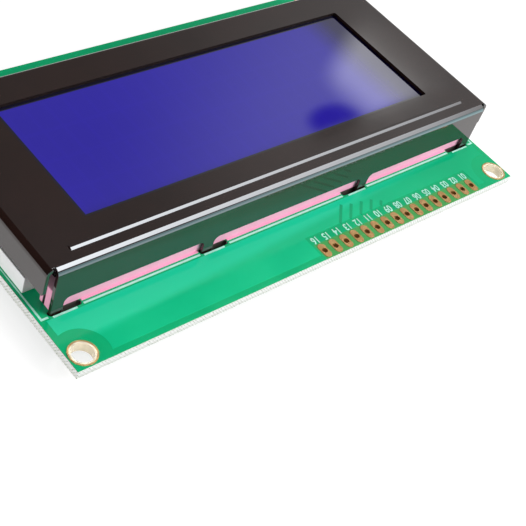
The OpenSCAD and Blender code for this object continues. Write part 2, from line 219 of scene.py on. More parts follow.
class LcdStageSettings(bpy.types.PropertyGroup):
    floor_size: FloatProperty(name="Floor", description="Length of the floor's sides",
                              default=4, min=1, unit="LENGTH")
    floor_tone: share("Floor Tone", "Grey of the floor, which takes the shadow", 0.31)
    floor_glow: share("Floor Glow", "White that the floor shows by itself", 0.79)
    fill_low: FloatProperty(name="Low Fill", description="Fill from the horizon",
                            default=0.12, min=0)
    fill_high: FloatProperty(name="High Fill", description="Fill from overhead",
                             default=0.85, min=0)
    fill_right: share("Right Fill", "Part of the fill that comes from the right", 0.12)
    front: FloatProperty(name="Front", description="Strength of the reflected front light",
                         default=2.35, min=0)
    window: FloatProperty(name="Window", description="Strength of the reflected window",
                          default=1.3, min=0)
    key: FloatProperty(name="Key", description="Power of the softbox on the header's side",
                       default=8.5, min=0, unit="POWER")
    low: FloatProperty(name="Low Light", description="Power of the low lamp on the right",
                       default=4, min=0, unit="POWER")


GROUPS = {
    "lcd_board": LcdBoardSettings,
    "lcd_print": LcdPrintSettings,
    "lcd_metal": LcdMetalSettings,
    "lcd_bezel": LcdBezelSettings,
    "lcd_cell": LcdCellSettings,
    "lcd_backlight": LcdBacklightSettings,
    "lcd_circuit": LcdCircuitSettings,
    "lcd_stage": LcdStageSettings,
}


# Node trees

def add(tree, kind, inputs=None, **settings):
    """A new node with its own settings and its unlinked inputs set"""
    made = tree.nodes.new(kind)
    for name, value in settings.items():
        setattr(made, name, value)
    for name, value in (inputs or {}).items():
        made.inputs[name].default_value = value
    return made


def rgba(colour3):
    return (*colour3, 1)


def maths(tree, operation, first, second=None, third=None):
    """A Math node whose arguments are sockets or numbers; returns its output"""
    made = add(tree, "ShaderNodeMath", operation=operation)
    for place, value in enumerate((first, second, third)):
        if isinstance(value, bpy.types.NodeSocket):
            tree.links.new(value, made.inputs[place])
        elif value is not None:
            made.inputs[place].default_value = value
    return made.outputs[0]


def ease(tree, value, low, high, to_low=0, to_high=1):
    """A smooth step of a value from one range to another"""
    made = add(tree, "ShaderNodeMapRange", interpolation_type="SMOOTHSTEP",
               inputs={"From Min": low, "From Max": high, "To Min": to_low, "To Max": to_high})
    tree.links.new(value, made.inputs["Value"])
    return made.outputs["Result"]


def blend(tree, factor, first, second):
    """Mixes two colours, each a socket or a colour, by a factor socket"""
    made = add(tree, "ShaderNodeMix", data_type="RGBA")
    tree.links.new(factor, made.inputs["Factor"])
    for name, value in (("A", first), ("B", second)):
        socket = next(s for s in made.inputs if s.name == name and s.type == "RGBA")
        if isinstance(value, bpy.types.NodeSocket):
            tree.links.new(value, socket)
        else:
            socket.default_value = rgba(value)
    return next(s for s in made.outputs if s.type == "RGBA")


def light(tree, tint, strength):
    """A Background of one tint, with its strength from a socket"""
    made = add(tree, "ShaderNodeBackground", {"Color": rgba(tint)})
    tree.links.new(strength, made.inputs["Strength"])
    return made.outputs[0]


def new_group(name, inputs, outputs):
    """A shader node group with named sockets, returned with its two end nodes"""
    tree = bpy.data.node_groups.new(name, "ShaderNodeTree")
    for label, kind, default in inputs:
        socket = tree.interface.new_socket(label, in_out="INPUT", socket_type=kind)
        if default is not None:
            socket.default_value = default
    for label, kind in outputs:
        tree.interface.new_socket(label, in_out="OUTPUT", socket_type=kind)
    return tree, tree.nodes.new("NodeGroupInput"), tree.nodes.new("NodeGroupOutput")


def mottle_group():
    """Two tones that drift into each other, with a finer grain on top"""
    tree, ends, out = new_group(
        "Mottle",
        [("Vector", "NodeSocketVector", None), ("Scale", "NodeSocketFloat", 100),
         ("Tone A", "NodeSocketColor", None), ("Tone B", "NodeSocketColor", None),
         ("Fine", "NodeSocketFloat", 0.3)],
        [("Color", "NodeSocketColor"), ("Value", "NodeSocketFloat")])
    broad = add(tree, "ShaderNodeTexNoise", {"Detail": 3, "Roughness": 0.55})
    fine = add(tree, "ShaderNodeTexNoise", {"Detail": 2, "Roughness": 0.6})
    tree.links.new(ends.outputs["Vector"], broad.inputs["Vector"])
    tree.links.new(ends.outputs["Vector"], fine.inputs["Vector"])
    tree.links.new(ends.outputs["Scale"], broad.inputs["Scale"])
    tree.links.new(maths(tree, "MULTIPLY", ends.outputs["Scale"], 9.0), fine.inputs["Scale"])
    drift = ease(tree, broad.outputs["Fac"], 0.3, 0.7)
    grain = maths(tree, "MULTIPLY", maths(tree, "SUBTRACT", fine.outputs["Fac"], 0.5),
                  ends.outputs["Fine"])
    value = add(tree, "ShaderNodeMath", operation="ADD", use_clamp=True)
    tree.links.new(drift, value.inputs[0])
    tree.links.new(grain, value.inputs[1])
    tree.links.new(blend(tree, value.outputs[0], ends.outputs["Tone A"], ends.outputs["Tone B"]),
                   out.inputs["Color"])
    tree.links.new(value.outputs[0], out.inputs["Value"])
    return tree


def ripple_group():
    """The height of a poured or moulded skin: long waves and a fine grain"""
    tree, ends, out = new_group(
        "Surface Ripple",
        [("Vector", "NodeSocketVector", None), ("Wave Scale", "NodeSocketFloat", 300),
         ("Grain Scale", "NodeSocketFloat", 4000), ("Grain", "NodeSocketFloat", 0.2)],
        [("Height", "NodeSocketFloat")])
    waves = add(tree, "ShaderNodeTexNoise", {"Detail": 1})
    grain = add(tree, "ShaderNodeTexNoise", {"Detail": 2})
    for made, label in ((waves, "Wave Scale"), (grain, "Grain Scale")):
        tree.links.new(ends.outputs["Vector"], made.inputs["Vector"])
        tree.links.new(ends.outputs[label], made.inputs["Scale"])
    height = maths(tree, "MULTIPLY_ADD", grain.outputs["Fac"], ends.outputs["Grain"],
                   waves.outputs["Fac"])
    tree.links.new(height, out.inputs["Height"])
    return tree


def speck_group():
    """Small round specks, thinly strewn"""
    tree, ends, out = new_group(
        "Specks",
        [("Vector", "NodeSocketVector", None), ("Scale", "NodeSocketFloat", 400),
         ("Radius", "NodeSocketFloat", 0.12), ("Share", "NodeSocketFloat", 0.05)],
        [("Mask", "NodeSocketFloat")])
    cells = add(tree, "ShaderNodeTexVoronoi", feature="F1")
    tree.links.new(ends.outputs["Vector"], cells.inputs["Vector"])
    tree.links.new(ends.outputs["Scale"], cells.inputs["Scale"])
    near = maths(tree, "LESS_THAN", cells.outputs["Distance"], ends.outputs["Radius"])
    parts = add(tree, "ShaderNodeSeparateColor")
    tree.links.new(cells.outputs["Color"], parts.inputs["Color"])
    chosen = maths(tree, "LESS_THAN", parts.outputs["Red"], ends.outputs["Share"])
    tree.links.new(maths(tree, "MULTIPLY", near, chosen), out.inputs["Mask"])
    return tree


def layer_group():
    """The cut of a glass laminate: fuzzy lying layers, and the ends of the woven bundles"""
    tree, ends, out = new_group(
        "Cut Layers",
        [("Vector", "NodeSocketVector", None), ("Layers", "NodeSocketFloat", 5000),
         ("Bundles", "NodeSocketFloat", 11400), ("Rows", "NodeSocketFloat", 9000)],
        [("Value", "NodeSocketFloat"), ("Dots", "NodeSocketFloat")])
    parts = add(tree, "ShaderNodeSeparateXYZ")
    tree.links.new(ends.outputs["Vector"], parts.inputs["Vector"])
    fuzz = add(tree, "ShaderNodeTexNoise", {"Scale": 2200, "Detail": 4, "Roughness": 0.7})
    tree.links.new(ends.outputs["Vector"], fuzz.inputs["Vector"])
    lift = maths(tree, "MULTIPLY", parts.outputs["Z"], ends.outputs["Layers"])
    wave = maths(tree, "SINE", maths(tree, "MULTIPLY_ADD", fuzz.outputs["Fac"], 6.0, lift))
    layers = maths(tree, "MULTIPLY_ADD", wave, 0.22, 0.3)
    value = maths(tree, "MULTIPLY_ADD", fuzz.outputs["Fac"], 0.5, layers)
    run = maths(tree, "ADD", parts.outputs["X"], parts.outputs["Y"])
    across = maths(tree, "SINE", maths(tree, "MULTIPLY", run, ends.outputs["Bundles"]))
    up = maths(tree, "SINE", maths(tree, "MULTIPLY", parts.outputs["Z"], ends.outputs["Rows"]))
    bundle = maths(tree, "MULTIPLY_ADD", maths(tree, "SUBTRACT", fuzz.outputs["Fac"], 0.5), 4.5,
                   maths(tree, "MULTIPLY", across, up))
    tree.links.new(value, out.inputs["Value"])
    tree.links.new(ease(tree, bundle, 0.2, 1.3), out.inputs["Dots"])
    return tree


EFFECTS = {"mottle": mottle_group, "ripple": ripple_group,
           "specks": speck_group, "layers": layer_group}


def effect(tree, name, vector, **inputs):
    """Places one of the shared effects in a material, with its own values"""
    label = "effect_" + name
    if label not in bpy.data.node_groups:
        EFFECTS[name]().name = label
    made = add(tree, "ShaderNodeGroup", node_tree=bpy.data.node_groups[label])
    tree.links.new(vector, made.inputs["Vector"])
    for socket, value in inputs.items():
        made.inputs[socket.replace("_", " ")].default_value = value
    return made


class Finish:
    """A material under construction: its tree, its shader and the object's coordinates"""

    def __init__(self, name, roughness, **shader):
        self.material = bpy.data.materials.new(name)
        self.material.use_nodes = True
        self.tree = self.material.node_tree
        self.tree.nodes.clear()
        self.place = add(self.tree, "ShaderNodeTexCoord").outputs["Object"]
        values = {"Roughness": roughness}
        values.update({label.replace("_", " "): value for label, value in shader.items()})
        self.shader = add(self.tree, "ShaderNodeBsdfPrincipled", values)
        out = add(self.tree, "ShaderNodeOutputMaterial")
        self.tree.links.new(self.shader.outputs["BSDF"], out.inputs["Surface"])

    def feed(self, socket, name):
        self.tree.links.new(socket, self.shader.inputs[name])

    def paint(self, tone_a, tone_b, scale, fine=0.3):
        """Colours the surface in two drifting tones"""
        made = effect(self.tree, "mottle", self.place, Scale=scale, Tone_A=rgba(tone_a),
                      Tone_B=rgba(tone_b), Fine=fine)
        self.feed(made.outputs["Color"], "Base Color")
        return made

    def uneven(self, value, low, high):
        """Varies the roughness with a value"""
        self.feed(ease(self.tree, value, 0, 1, low, high), "Roughness")

    def bump(self, height, strength, depth):
        made = add(self.tree, "ShaderNodeBump", {"Strength": strength, "Distance": depth})
        self.tree.links.new(height, made.inputs["Height"])
        self.feed(made.outputs["Normal"], "Normal")

    def ripple(self, strength, depth, wave_scale, grain_scale, grain=0.2):
        made = effect(self.tree, "ripple", self.place, Wave_Scale=wave_scale,
                      Grain_Scale=grain_scale, Grain=grain)
        self.bump(made.outputs["Height"], strength, depth)


def shade(tone, factor):
    """The same colour, darker or lighter"""
    return tuple(min(1, channel*factor) for channel in tone)


# Finishes

def enamel_finish(s):
    f = Finish("black_enamel", s.roughness, IOR=1.7)
    tones = f.paint(s.enamel, shade(s.enamel, 1.5), 60, 0.6)
    f.uneven(tones.outputs["Value"], s.roughness*0.85, s.roughness*1.2)
    f.ripple(0.12, 0.004*MM, 700, 6000, 0.25)
    return f.material


def cut_edge_finish(s):
    """The bezel's punched edges: thinly coated and dull, and darker than the enamel as painted
    shade for edges that lie in shadow
    """
    f = Finish("shaded_cut_edge", 0.6, Specular_IOR_Level=0.1)
    tones = f.paint(shade(s.enamel, 0.5), shade(s.enamel, 0.9), 900, 0.6)
    f.bump(tones.outputs["Value"], 0.2, 0.01*MM)
    return f.material


def mask_finish(name, tone, s, near=None, pads=None):
    """Solder mask: satin, a little cloudy, with a few dark specks. Over the copper area it
    has one tone near the bezel and another near the board's edge; between the header pads
    it can have a tone of its own."""
    f = Finish(name, 0.18, IOR=1.5, Specular_IOR_Level=0.16)
    cloud = effect(f.tree, "mottle", f.place, Scale=90, Tone_A=rgba(tone),
                   Tone_B=rgba(shade(tone, 1.08)), Fine=0.5)
    dust = effect(f.tree, "specks", f.place, Scale=260, Radius=0.035, Share=0.045)
    paint = cloud.outputs["Color"]
    if near:
        parts = add(f.tree, "ShaderNodeSeparateXYZ")
        f.tree.links.new(f.place, parts.inputs["Vector"])
        sway = maths(f.tree, "MULTIPLY_ADD", parts.outputs["X"], -0.06, parts.outputs["Y"])
        change = s.tone_change
        paint = blend(f.tree, ease(f.tree, sway, change - 0.9*MM, change + 0.9*MM), near, paint)
        dim = ease(f.tree, parts.outputs["X"], -40*MM, -8*MM, 0.55, 0)
        paint = blend(f.tree, dim, paint, s.mask)
    if pads:
        parts = add(f.tree, "ShaderNodeSeparateXYZ")
        f.tree.links.new(f.place, parts.inputs["Vector"])
        soft = 0.4*MM
        middle, half = (PADS_LO.x + PADS_HI.x)/2, (PADS_HI.x - PADS_LO.x)/2
        away = maths(f.tree, "ABSOLUTE", maths(f.tree, "SUBTRACT", parts.outputs["X"], middle))
        row = maths(f.tree, "MULTIPLY", ease(f.tree, away, half, half + soft, 1, 0),
                    ease(f.tree, parts.outputs["Y"], PADS_LO.y - soft, PADS_LO.y))
        paint = blend(f.tree, row, paint, pads)
    f.feed(blend(f.tree, dust.outputs["Mask"], paint, shade(tone, 0.4)), "Base Color")
    f.uneven(cloud.outputs["Value"], 0.13, 0.2)
    f.ripple(0.15, 0.006*MM, 900, 5000, 0.3)
    return f.material


def laminate_finish(s):
    f = Finish("laminate_edge", 0.8)
    layers = effect(f.tree, "layers", f.place)
    value = layers.outputs["Value"]
    resin = blend(f.tree, value, shade(s.laminate, 0.8), shade(s.laminate, 1.25))
    f.feed(blend(f.tree, layers.outputs["Dots"], resin, s.bundle), "Base Color")
    f.bump(value, 0.4, 0.03*MM)
    return f.material


def ink_finish(s):
    f = Finish("printing_ink", 0.55)
    tones = f.paint(s.ink, shade(s.ink, 0.88), 800, 0.8)
    f.bump(tones.outputs["Value"], 0.2, 0.004*MM)
    return f.material


def metal_finish(name, tone, roughness, cloud, metallic=1):
    """Plating or solder: a metal with faint clouds of another tone"""
    f = Finish(name, roughness, Metallic=metallic)
    tones = f.paint(tone, shade(tone, cloud), 900, 0.6)
    f.uneven(tones.outputs["Value"], roughness*0.75, roughness*1.3)
    f.ripple(0.2, 0.006*MM, 1500, 9000, 0.3)
    return f.material


def ring_finish(s):
    """Gold plating: tarnished on the ring's face, bright down the bore"""
    f = Finish("gold_plating", 0.2, Metallic=0.7)
    tree = f.tree
    parts = add(tree, "ShaderNodeSeparateXYZ")
    tree.links.new(f.place, parts.inputs["Vector"])
    off = []
    for axis, middle in (("X", RINGS_HI.x - RING_R), ("Y", RINGS_HI.y - RING_R)):
        off.append(maths(tree, "SUBTRACT", maths(tree, "ABSOLUTE", parts.outputs[axis]), middle))
    radius = maths(tree, "SQRT", maths(tree, "MULTIPLY_ADD", off[0], off[0],
                                       maths(tree, "MULTIPLY", off[1], off[1])))
    face = ease(tree, radius, RING_R - 0.38*MM, RING_R - 0.2*MM)
    cloud = effect(tree, "mottle", f.place, Scale=900, Tone_A=rgba(s.gold),
                   Tone_B=rgba(shade(s.gold, 0.85)), Fine=0.6)
    f.feed(blend(tree, face, cloud.outputs["Color"], s.tarnish), "Base Color")
    f.uneven(cloud.outputs["Value"], 0.16, 0.26)
    f.ripple(0.2, 0.006*MM, 1500, 9000, 0.3)
    return f.material


def film_finish(s):
    """Polarizer over the cell: glossy, with the faintest trace of the character fields, a
    painted shadow along the window's edges and painted shade towards the window's -X end
    """
    f = Finish("polarizer_film", 0.05, IOR=2.0)
    tree = f.tree
    lo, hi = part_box("front_polarizer")
    parts = add(tree, "ShaderNodeSeparateXYZ")
    tree.links.new(f.place, parts.inputs["Vector"])
    fields = []
    inset = 0.11
    for axis, count, start, length, gap in (
            ("X", s.columns, lo.x, hi.x - lo.x, 0.17), ("Y", s.lines, lo.y, hi.y - lo.y, 0.12)):
        step = length*(1 - 2*inset)/count
        run = maths(tree, "MULTIPLY_ADD", parts.outputs[axis], 1/step,
                    -(start + inset*length)/step)
        turn = maths(tree, "FRACT", run)
        inside = maths(tree, "MULTIPLY", maths(tree, "GREATER_THAN", run, 0),
                       maths(tree, "LESS_THAN", run, count))
        field = maths(tree, "MULTIPLY", maths(tree, "GREATER_THAN", turn, gap/2),
                      maths(tree, "LESS_THAN", turn, 1 - gap/2))
        fields.append(maths(tree, "MULTIPLY", field, inside))
    field = maths(tree, "MULTIPLY", fields[0], fields[1])
    cloud = effect(tree, "mottle", f.place, Scale=25, Tone_A=rgba(s.film),
                   Tone_B=rgba(shade(s.film, 1.12)), Fine=0.05)
    faint = maths(tree, "MULTIPLY", field, 0.05)
    paint = blend(tree, faint, cloud.outputs["Color"], shade(s.film, 0.3))
    # Painted shadow along the window's edges, where the bezel shades the film
    edge = None
    for axis, low, high in zip("XY", WINDOW_LO, WINDOW_HI):
        for near, sign in ((low, 1), (high, -1)):
            inwards = maths(tree, "MULTIPLY", maths(tree, "SUBTRACT", parts.outputs[axis], near),
                            sign)
            edge = inwards if edge is None else maths(tree, "MINIMUM", edge, inwards)
    border = ease(tree, edge, s.border, s.border + 0.15*MM)
    # Painted shade: the film's colour darkens towards the window's -X end
    end = ease(tree, parts.outputs["X"], WINDOW_LO[0] + 2*MM, WINDOW_LO[0] + 11*MM, 0.12, 1)
    f.feed(blend(tree, maths(tree, "MULTIPLY", border, end), shade(s.film, 0.04), paint),
           "Base Color")
    f.uneven(cloud.outputs["Value"], 0.03, 0.07)
    return f.material


def glass_finish(s):
    f = Finish("cell_glass", 0.02, IOR=1.52, Transmission_Weight=1)
    tones = f.paint(s.glass, shade(s.glass, 0.94), 120, 0.1)
    f.uneven(tones.outputs["Value"], 0.01, 0.05)
    return f.material


def elastomer_finish(s):
    """Soft pink silicone with a dark lengthwise band of its conducting layer, set off-centre and
    widened so that it also paints the shade beside it
    """
    f = Finish("pink_elastomer", 0.45, IOR=1.3)
    tones = effect(f.tree, "mottle", f.place, Scale=200, Tone_A=rgba(s.elastomer),
                   Tone_B=rgba(shade(s.elastomer, 0.93)), Fine=0.4)
    lo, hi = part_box("zebra_strip_header_side")
    parts = add(f.tree, "ShaderNodeSeparateXYZ")
    f.tree.links.new(f.place, parts.inputs["Vector"])
    # Painted shade: the dark band is shifted and widened past the conducting layer, to darken
    # the shaded side of the strip
    middle = (abs(lo.y) + abs(hi.y))/2 - 0.35*MM
    away = maths(f.tree, "ABSOLUTE", maths(
        f.tree, "SUBTRACT", maths(f.tree, "ABSOLUTE", parts.outputs["Y"]), middle))
    core_and_shade = ease(f.tree, away, 0.2*MM, 0.3*MM, 1, 0)
    f.feed(blend(f.tree, core_and_shade, tones.outputs["Color"], (0.012, 0.01, 0.012)), "Base Color")
    f.ripple(0.2, 0.01*MM, 500, 4000, 0.4)
    return f.material


def plastic_finish(name, tone, roughness=0.5):
    f = Finish(name, roughness)
    tones = f.paint(tone, shade(tone, 0.94), 150, 0.4)
    f.uneven(tones.outputs["Value"], roughness*0.85, roughness*1.1)
    f.ripple(0.25, 0.01*MM, 900, 7000, 0.5)
    return f.material


def clear_finish(s):
    f = Finish("clear_acrylic", 0.05, IOR=1.49, Transmission_Weight=1)
    tones = f.paint(s.guide, shade(s.guide, 0.95), 80, 0.1)
    f.uneven(tones.outputs["Value"], 0.03, 0.1)
    return f.material


def resin_finish(s):
    """Poured black resin: glossy, with the slow waves of a hand-laid drop"""
    f = Finish("black_resin", 0.22)
    tones = f.paint(s.resin, shade(s.resin, 2.2), 350, 0.7)
    f.uneven(tones.outputs["Value"], 0.16, 0.36)
    f.ripple(0.5, 0.05*MM, 350, 3500, 0.15)
    return f.material


# Pieces

def merged_copy(node):
    """A CAD node's mesh as a bmesh, with its doubles merged and its flat faces rejoined"""
    bm = bmesh.new()
    bm.from_mesh(frame["nodes"][node].data)
    bmesh.ops.remove_doubles(bm, verts=bm.verts, dist=MERGE)
    bmesh.ops.dissolve_limit(bm, angle_limit=math.radians(0.3), use_dissolve_boundaries=False,
                             verts=bm.verts, edges=bm.edges)
    return bm


def round_edges(bm, width, sharpest=math.radians(60), segments=2, within=None):
    """Bevels the edges that turn by more than an angle"""
    edges = [e for e in bm.edges if len(e.link_faces) == 2
             and e.calc_face_angle(0) > sharpest and (within is None or within(e))]
    bmesh.ops.bevel(bm, geom=edges, offset=width, offset_type="OFFSET", affect="EDGES",
                    segments=segments, profile=0.5, material=-1, clamp_overlap=False)


def new_piece(name, bm, materials, node=None):
    """Makes an object of a bmesh, gives it its materials and joins it to the frame"""
    mesh = bpy.data.meshes.new(name)
    bm.to_mesh(mesh)
    bm.free()
    for material in materials:
        mesh.materials.append(material)
    piece = bpy.data.objects.new(name, mesh)
    bpy.context.scene.collection.objects.link(piece)
    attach(piece, BODY)
    if node:
        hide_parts(node)
    return piece


def smooth(piece, angle=math.radians(30)):
    """Smooth shading, with edges sharper than an angle kept and flat faces kept flat"""
    mesh = piece.data
    mesh.polygons.foreach_set("use_smooth", [True]*len(mesh.polygons))
    mesh.set_sharp_from_angle(angle=angle)
    weighted = piece.modifiers.new("Flat Faces", "WEIGHTED_NORMAL")
    weighted.keep_sharp = True


def dress(node, material):
    """Gives a CAD node its material"""
    mesh = frame["nodes"][node].data
    mesh.materials.clear()
    mesh.materials.append(material)


def block(bm, low, high):
    """A box between two corners"""
    low, high = Vector(low), Vector(high)
    made = bmesh.ops.create_cube(bm, size=1)["verts"]
    extent = high - low
    bmesh.ops.scale(bm, verts=made, vec=extent)
    bmesh.ops.translate(bm, verts=made, vec=(low + high)/2)
    return made


def disc(bm, x, y, low, high, radius, sides=24):
    """An upright cylinder between two heights"""
    at = Matrix.Translation((x, y, (low + high)/2))
    return bmesh.ops.create_cone(bm, cap_ends=True, segments=sides, radius1=radius,
                                 radius2=radius, depth=high - low, matrix=at)["verts"]


def strip(bm, points, low, high, closed=False):
    """A thin wall on a path, from one height to another, to be given its width later"""
    verts = [bm.verts.new((x, y, low)) for x, y in points]
    ends = verts[1:] + (verts[:1] if closed else [])
    edges = [bm.edges.new(pair) for pair in zip(verts, ends)]
    grown = bmesh.ops.extrude_edge_only(bm, edges=edges)["geom"]
    top = [g for g in grown if isinstance(g, bmesh.types.BMVert)]
    bmesh.ops.translate(bm, verts=top, vec=(0, 0, high - low))


def widen(piece, width):
    """Gives the thin walls of a piece their width, half to each side"""
    solid = piece.modifiers.new("Width", "SOLIDIFY")
    solid.thickness = width
    solid.offset = 0
    solid.use_even_offset = True


def arc(x, y, radius, start, stop, steps):
    """Points on an arc about a centre, with its angles in degrees"""
    turns = [math.radians(start + (stop - start)*i/steps) for i in range(steps + 1)]
    return [(x + radius*math.cos(t), y + radius*math.sin(t)) for t in turns]


class PieceOperator(bpy.types.Operator):
    """Shared options of the operators"""
    bl_options = {"REGISTER", "UNDO"}

    def execute(self, context):
        self.build(context.scene)
        return {"FINISHED"}


def pin_places():
    """The header pins' places, from the pads' box"""
    first = PADS_LO.x + PAD_W/2
    pitch = (PADS_HI.x - PADS_LO.x - PAD_W)/(PIN_COUNT - 1)
    y = (PADS_LO.y + PADS_HI.y)/2
    return [(first + i*pitch, y) for i in range(PIN_COUNT)]


def chip_places(node, count):
    """A row of chips: the corners of its box and each chip's reach along X"""
    lo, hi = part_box(node)
    pitch = (hi.x - lo.x - CHIP_W)/(count - 1)
    return lo, hi, [(lo.x + i*pitch, lo.x + i*pitch + CHIP_W) for i in range(count)]


class LCD_OT_board(PieceOperator):
    """Circuit board with a satin mask on its faces, bare laminate at its outer cuts and painted
    shade on the cut walls inside its outline
    """
    bl_idname = "lcd.board"
    bl_label = "Circuit Board"

    def build(self, scene):
        s = scene.lcd_board
        bm = merged_copy("circuit_board")

        def on_outline(edge):
            middle = (edge.verts[0].co + edge.verts[1].co)/2
            reach = 0.01*MM
            return (abs(middle.x) > BOARD_HI.x - reach or abs(middle.y) > BOARD_HI.y - reach)

        round_edges(bm, s.edge_round, within=on_outline)
        inside = BOARD_HI.y - s.copper_edge
        for face in bm.faces:
            level = abs(face.normal.z) > 0.9
            routed = abs(face.calc_center_median().y) < inside and abs(face.normal.x) < 0.999
            # Cut walls inside the outline take the painted shade
            face.material_index = 0 if level else 2 if routed else 1
        board = new_piece("circuit_board_laminate", bm,
                          [mask_finish("solder_mask", s.mask, s, pads=s.mask_by_pads),
                           laminate_finish(s), plastic_finish("slot_shade", s.slot_shade, 0.8)],
                          "circuit_board")
        smooth(board)


class LCD_OT_copper(PieceOperator):
    """Copper areas and tracks that show through the mask"""
    bl_idname = "lcd.copper"
    bl_label = "Copper under the Mask"

    def build(self, scene):
        s = scene.lcd_board
        top, back = BOARD_HI.z, BOARD_LO.z
        self.front_area(s, top)
        self.front_tracks(s, top)
        self.back_tracks(s, back)

    def front_area(self, s, top):
        """One area along the header's edge, cut out round the mounting holes and the pins"""
        x, y_out = BOARD_HI.x - s.copper_edge, BOARD_HI.y - s.copper_edge
        y_in = WALL_Y + s.bezel_gap
        hole_x = RINGS_HI.x - RING_R
        hole_y = RINGS_HI.y - RING_R
        dx = math.sqrt(s.keep_out**2 - (y_out - hole_y)**2)
        dy = math.sqrt(s.keep_out**2 - (x - hole_x)**2)
        start = math.degrees(math.atan2(y_out - hole_y, -dx))
        stop = 360 + math.degrees(math.atan2(-dy, x - hole_x))
        right = arc(hole_x, hole_y, s.keep_out, start, stop, 20)
        left = [(-px, py) for px, py in reversed(right)]
        pins = pin_places()
        pin_left, pin_right = pins[0][0] - NOTCH_SIDE, pins[-1][0] + NOTCH_SIDE
        under = PADS_LO.y - NOTCH_DEPTH
        notch = [(pin_left, y_out), (pin_left, under), (pin_right, under), (pin_right, y_out)]
        outline = left + notch + right
        bm = bmesh.new()
        verts = [bm.verts.new((px, py, top)) for px, py in outline]
        verts += [bm.verts.new((x, y_in, top)), bm.verts.new((-x, y_in, top))]
        face = bm.faces.new(verts)
        grown = bmesh.ops.extrude_face_region(bm, geom=[face])["geom"]
        raised = [g for g in grown if isinstance(g, bmesh.types.BMVert)]
        bmesh.ops.translate(bm, verts=raised, vec=(0, 0, s.copper_t))
        bmesh.ops.recalc_face_normals(bm, faces=bm.faces)
        area = new_piece("copper_area_front", bm,
                         [mask_finish("mask_on_copper", s.mask_on_copper, s,
                                      s.mask_by_bezel)])
        smooth(area)

    def front_tracks(self, s, top):
        bm = bmesh.new()
        pins = pin_places()
        start = PADS_LO.y - NOTCH_DEPTH
        lengths = (3.3*MM, 2.7*MM, 2.35*MM, 1.9*MM, 0.95*MM)
        for (x, _), length in zip(reversed(pins[8:13]), lengths):
            x += s.track_shift
            strip(bm, [(x, start), (x - length, start - length)], top, top + s.copper_t*1.4)
        tracks = new_piece("tracks_front", bm,
                           [mask_finish("mask_on_track", s.mask_on_track, s)])
        widen(tracks, s.wide_track)

    def back_tracks(self, s, back):
        low = back - s.copper_t
        bm = bmesh.new()
        cap_lo, cap_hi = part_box("controller_cap")
        cap_x, cap_y = (cap_lo.x + cap_hi.x)/2, (cap_lo.y + cap_hi.y)/2
        radius = (cap_hi.x - cap_lo.x)/2
        lowest, step, turn = 16.3*MM, 0.55*MM, 0.8*MM
        under_cap, under_pad = 0.4*MM, 0.2*MM
        pitch = 2*radius*0.86/15
        pins = pin_places()[:14]
        for i, (x, _) in enumerate(pins):
            run = lowest + i*step
            end = cap_x - 6.5*pitch + i*pitch
            rim = cap_y + math.sqrt(radius**2 - (end - cap_x)**2) - under_cap
            strip(bm, [(x, PADS_LO.y + under_pad), (x, run + turn), (x + turn, run),
                       (end - turn, run), (end, run - turn), (end, rim)], low, back)
        fan, via_row, via_step, under_side = 0.62*MM, -17.6*MM, -0.9*MM, 0.6*MM
        vias = bmesh.new()
        for node in CAPS:
            lo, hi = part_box(node)
            cx, cy, r = (lo.x + hi.x)/2, (lo.y + hi.y)/2, (hi.x - lo.x)/2
            for k in range(-9, 10):
                x = cx + k*fan
                edge = cy - math.sqrt(r**2 - (x - cx)**2) + under_cap
                end = via_row + via_step*(k % 2)
                strip(bm, [(x, edge), (x, end)], low, back)
                disc(vias, x, end, low, back, s.via_d/2, 20)
        caps = [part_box(node) for node in reversed(CAPS)]
        for (_, left_hi), (right_lo, _) in zip(caps, caps[1:]):
            for k in range(7):
                y = (left_hi.y + right_lo.y)/2 + (k - 3)*fan
                strip(bm, [(left_hi.x - under_side, y), (right_lo.x + under_side, y)],
                      low, back)
        finish = mask_finish("mask_on_back_tracks", s.mask_on_copper, s)
        tracks = new_piece("tracks_back", bm, [finish])
        widen(tracks, s.track_w)
        new_piece("vias_back", vias, [finish])


